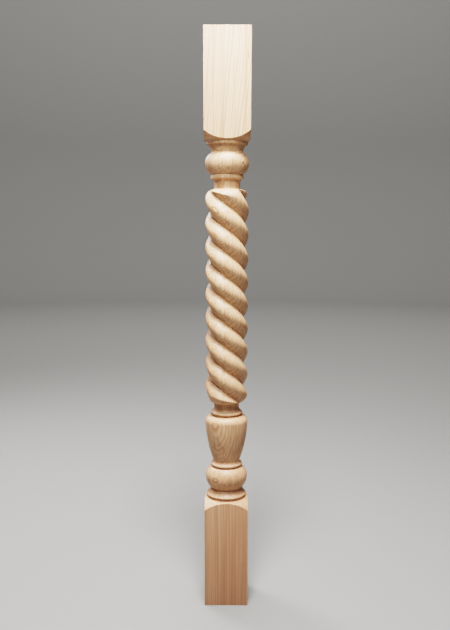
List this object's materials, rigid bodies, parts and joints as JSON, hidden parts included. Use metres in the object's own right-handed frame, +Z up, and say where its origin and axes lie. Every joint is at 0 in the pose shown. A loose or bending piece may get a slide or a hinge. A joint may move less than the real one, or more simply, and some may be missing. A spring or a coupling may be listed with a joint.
{
  "type": "turned baluster",
  "caption": "Square-ended wooden baluster, turned with balls, a vase and collars, with a long rope twist of rounded strands carved in its middle.",
  "frame": {"origin": "centre of the square underside, on the surface that it stands on", "axes": "+Z up along the turning axis, -Y towards the viewer's face of the blocks, +X to its right"},
  "size_m": [0.07, 0.07, 0.9],
  "materials": {
    "wood": "sanded, unfinished"
  },
  "bodies": {
    "root": {"baluster": "wood"}
  },
  "joints": []
}
